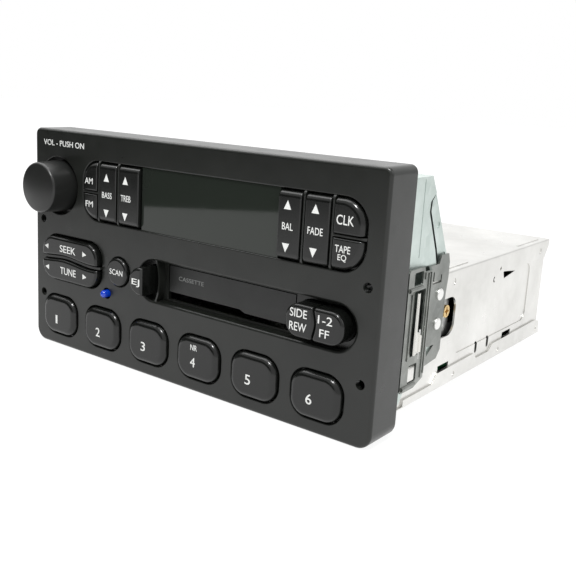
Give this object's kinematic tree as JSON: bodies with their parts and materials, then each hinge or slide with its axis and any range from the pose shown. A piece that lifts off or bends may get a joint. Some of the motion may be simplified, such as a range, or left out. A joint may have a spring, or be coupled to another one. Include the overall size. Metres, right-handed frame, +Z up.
{
  "type": "car radio",
  "caption": "Car radio with a cassette deck: tall dark faceplate with knob, keys and display on a low sheet-metal chassis with side clips.",
  "frame": {"origin": "below the middle of the whole radio, level with the faceplate's lower edge", "axes": "+X to the right seen from the front, +Y from the faceplate to the rear, +Z up"},
  "size_m": [0.19, 0.2112, 0.103],
  "materials": {
    "nickel": "nickel plated",
    "components": "mixed",
    "tin_sheet": "tin plated",
    "key_plastic": "satin with white legends",
    "deck_steel": "zinc plated",
    "door_plastic": "satin",
    "rivet_metal": "satin",
    "display_glass": "gloss",
    "smoked_lens": "gloss",
    "belt_rubber": "matte",
    "motor_can": "drawn can",
    "faceplate_plastic": "fine matte texture",
    "turned_steel": "turned",
    "zinc_sheet": "zinc plated",
    "circuit_board": "lacquered",
    "cast_metal": "as cast",
    "pin_steel": "ground",
    "blue_lens": "clear",
    "guide_plastic": "matte",
    "switch_bodies": "matte",
    "bright_steel": "bright",
    "pulley_brass": "turned",
    "white_nylon": "natural",
    "socket_plastic": "matte",
    "yellow_screws": "yellow passivated steel",
    "spring_steel": "dark spring steel",
    "knob_plastic": "satin"
  },
  "bodies": {
    "chassis": {"antenna_socket": "nickel", "board_components": "components", "bottom_cover": "tin_sheet", "clip_rivets": "rivet_metal", "deck_frame": "deck_steel", "display_panel": "display_glass", "display_window": "smoked_lens", "drive_belt": "belt_rubber", "drive_motor": "motor_can", "faceplate": "faceplate_plastic", "frame_rear_cover": "zinc_sheet", "front_circuit_board": "circuit_board", "front_frame": "zinc_sheet", "heat_sink": "cast_metal", "hinge_pins": "pin_steel", "indicator_lens": "blue_lens", "key_guide": "guide_plastic", "key_switches": "switch_bodies", "main_circuit_board": "circuit_board", "rear_panel": "tin_sheet", "rear_sockets": "socket_plastic", "rear_support_stud": "nickel", "screws": "yellow_screws", "side_clips": "spring_steel", "side_plates": "tin_sheet", "top_cover": "tin_sheet", "volume_control": "nickel"},
    "power_push": {"power_switch_plunger": "white_nylon"},
    "volume": {"volume_knob": "knob_plastic", "volume_shaft": "pin_steel"},
    "am_key": {"button_am": "key_plastic"},
    "fm_key": {"button_fm": "key_plastic"},
    "clock_key": {"button_clock": "key_plastic"},
    "tape_key": {"button_tape": "key_plastic"},
    "scan_key": {"button_scan": "key_plastic"},
    "preset_1_key": {"preset_1": "key_plastic"},
    "preset_2_key": {"preset_2": "key_plastic"},
    "preset_3_key": {"preset_3": "key_plastic"},
    "preset_4_key": {"preset_4": "key_plastic"},
    "preset_5_key": {"preset_5": "key_plastic"},
    "preset_6_key": {"preset_6": "key_plastic"},
    "eject_key": {"button_eject": "key_plastic"},
    "rewind_key": {"button_rewind": "key_plastic"},
    "fast_forward_key": {"button_fast_forward": "key_plastic"},
    "bass_rocker": {"rocker_bass": "key_plastic"},
    "treble_rocker": {"rocker_treble": "key_plastic"},
    "balance_rocker": {"rocker_balance": "key_plastic"},
    "fade_rocker": {"rocker_fade": "key_plastic"},
    "seek_rocker": {"rocker_seek": "key_plastic"},
    "tune_rocker": {"rocker_tune": "key_plastic"},
    "door": {"cassette_door": "door_plastic"},
    "latch_right": {"latch_right": "bright_steel"},
    "latch_left": {"latch_left": "bright_steel"},
    "carrier": {"cassette_carrier": "deck_steel"},
    "reel_supply": {"reel_supply": "white_nylon"},
    "reel_takeup": {"reel_takeup": "white_nylon"},
    "flywheel_front": {"flywheel_front": "turned_steel"},
    "flywheel_rear": {"flywheel_rear": "turned_steel"},
    "motor_rotor": {"motor_pulley": "pulley_brass"},
    "head_slide": {"tape_head": "deck_steel"}
  },
  "joints": [
    {"name": "power_press", "type": "slide", "parent": "chassis", "child": "power_push", "axis": [0, 1, 0], "range_m": [0, 0.0015], "stiffness_N_per_m": 1200},
    {"name": "volume_turn", "type": "hinge", "parent": "power_push", "child": "volume", "pos_m": [-0.0784, -0.0924, 0.07715], "axis": [0, -1, 0], "range_deg": [-150, 150]},
    {"name": "am_key_press", "type": "slide", "parent": "chassis", "child": "am_key", "axis": [0, 1, 0], "range_m": [0, 0.001], "stiffness_N_per_m": 900},
    {"name": "fm_key_press", "type": "slide", "parent": "chassis", "child": "fm_key", "axis": [0, 1, 0], "range_m": [0, 0.001], "stiffness_N_per_m": 900},
    {"name": "clock_key_press", "type": "slide", "parent": "chassis", "child": "clock_key", "axis": [0, 1, 0], "range_m": [0, 0.001], "stiffness_N_per_m": 900},
    {"name": "tape_key_press", "type": "slide", "parent": "chassis", "child": "tape_key", "axis": [0, 1, 0], "range_m": [0, 0.001], "stiffness_N_per_m": 900},
    {"name": "scan_key_press", "type": "slide", "parent": "chassis", "child": "scan_key", "axis": [0, 1, 0], "range_m": [0, 0.001], "stiffness_N_per_m": 900},
    {"name": "preset_1_key_press", "type": "slide", "parent": "chassis", "child": "preset_1_key", "axis": [0, 1, 0], "range_m": [0, 0.001], "stiffness_N_per_m": 900},
    {"name": "preset_2_key_press", "type": "slide", "parent": "chassis", "child": "preset_2_key", "axis": [0, 1, 0], "range_m": [0, 0.001], "stiffness_N_per_m": 900},
    {"name": "preset_3_key_press", "type": "slide", "parent": "chassis", "child": "preset_3_key", "axis": [0, 1, 0], "range_m": [0, 0.001], "stiffness_N_per_m": 900},
    {"name": "preset_4_key_press", "type": "slide", "parent": "chassis", "child": "preset_4_key", "axis": [0, 1, 0], "range_m": [0, 0.001], "stiffness_N_per_m": 900},
    {"name": "preset_5_key_press", "type": "slide", "parent": "chassis", "child": "preset_5_key", "axis": [0, 1, 0], "range_m": [0, 0.001], "stiffness_N_per_m": 900},
    {"name": "preset_6_key_press", "type": "slide", "parent": "chassis", "child": "preset_6_key", "axis": [0, 1, 0], "range_m": [0, 0.001], "stiffness_N_per_m": 900},
    {"name": "eject_key_press", "type": "slide", "parent": "chassis", "child": "eject_key", "axis": [0, 1, 0], "range_m": [0, 0.004], "stiffness_N_per_m": 500},
    {"name": "rewind_key_press", "type": "slide", "parent": "chassis", "child": "rewind_key", "axis": [0, 1, 0], "range_m": [0, 0.003], "stiffness_N_per_m": 500},
    {"name": "fast_forward_key_press", "type": "slide", "parent": "chassis", "child": "fast_forward_key", "axis": [0, 1, 0], "range_m": [0, 0.003], "stiffness_N_per_m": 500},
    {"name": "bass_tilt", "type": "hinge", "parent": "chassis", "child": "bass_rocker", "pos_m": [-0.04345, -0.0858, 0.0777], "axis": [1, 0, 0], "range_deg": [-3, 3], "stiffness_Nm_per_rad": 0.12},
    {"name": "treble_tilt", "type": "hinge", "parent": "chassis", "child": "treble_rocker", "pos_m": [-0.03033, -0.0858, 0.0777], "axis": [1, 0, 0], "range_deg": [-3, 3], "stiffness_Nm_per_rad": 0.12},
    {"name": "balance_tilt", "type": "hinge", "parent": "chassis", "child": "balance_rocker", "pos_m": [0.05462, -0.0858, 0.0777], "axis": [1, 0, 0], "range_deg": [-3, 3], "stiffness_Nm_per_rad": 0.12},
    {"name": "fade_tilt", "type": "hinge", "parent": "chassis", "child": "fade_rocker", "pos_m": [0.06695, -0.0858, 0.0777], "axis": [1, 0, 0], "range_deg": [-3, 3], "stiffness_Nm_per_rad": 0.12},
    {"name": "seek_tilt", "type": "hinge", "parent": "chassis", "child": "seek_rocker", "pos_m": [-0.06775, -0.0858, 0.0494], "axis": [0, 0, 1], "range_deg": [-2.5, 2.5], "stiffness_Nm_per_rad": 0.2},
    {"name": "tune_tilt", "type": "hinge", "parent": "chassis", "child": "tune_rocker", "pos_m": [-0.06775, -0.0858, 0.03755], "axis": [0, 0, 1], "range_deg": [-2.5, 2.5], "stiffness_Nm_per_rad": 0.2},
    {"name": "door_swing", "type": "hinge", "parent": "chassis", "child": "door", "pos_m": [0.0231, -0.0859, 0.0513], "axis": [1, 0, 0], "range_deg": [0, 85], "stiffness_Nm_per_rad": 0.0008, "springref_deg": -17.19},
    {"name": "latch_right_squeeze", "type": "hinge", "parent": "chassis", "child": "latch_right", "pos_m": [0.0928, -0.0564, 0.042], "axis": [0, 0, -1], "range_deg": [0, 12], "stiffness_Nm_per_rad": 0.3},
    {"name": "latch_left_squeeze", "type": "hinge", "parent": "chassis", "child": "latch_left", "pos_m": [-0.0928, -0.0564, 0.042], "axis": [0, 0, 1], "range_deg": [0, 12], "stiffness_Nm_per_rad": 0.3},
    {"name": "carrier_drop", "type": "slide", "parent": "chassis", "child": "carrier", "axis": [0, 0, -1], "range_m": [0, 0.007], "stiffness_N_per_m": 120, "springref_m": -0.006},
    {"name": "reel_supply_spin", "type": "hinge", "parent": "chassis", "child": "reel_supply", "pos_m": [0.0257, -0.0524, 0.03], "axis": [0, 0, 1], "continuous": true},
    {"name": "reel_takeup_spin", "type": "hinge", "parent": "chassis", "child": "reel_takeup", "pos_m": [0.0257, -0.0099, 0.03], "axis": [0, 0, 1], "continuous": true},
    {"name": "flywheel_front_spin", "type": "hinge", "parent": "chassis", "child": "flywheel_front", "pos_m": [0.047, -0.0594, 0.022], "axis": [0, 0, 1], "continuous": true},
    {"name": "flywheel_rear_spin", "type": "hinge", "parent": "chassis", "child": "flywheel_rear", "pos_m": [0.047, -0.0004, 0.022], "axis": [0, 0, 1], "continuous": true},
    {"name": "motor_spin", "type": "hinge", "parent": "chassis", "child": "motor_rotor", "pos_m": [0.04, 0.0426, 0.022], "axis": [0, 0, 1], "continuous": true},
    {"name": "head_engage", "type": "slide", "parent": "chassis", "child": "head_slide", "axis": [-1, 0, 0], "range_m": [0, 0.003], "stiffness_N_per_m": 200, "springref_m": -0.001}
  ],
  "couplings": [
    {"joint": "flywheel_rear_spin", "follows": "flywheel_front_spin", "ratio": 1},
    {"joint": "motor_spin", "follows": "flywheel_front_spin", "ratio": 3.5}
  ]
}
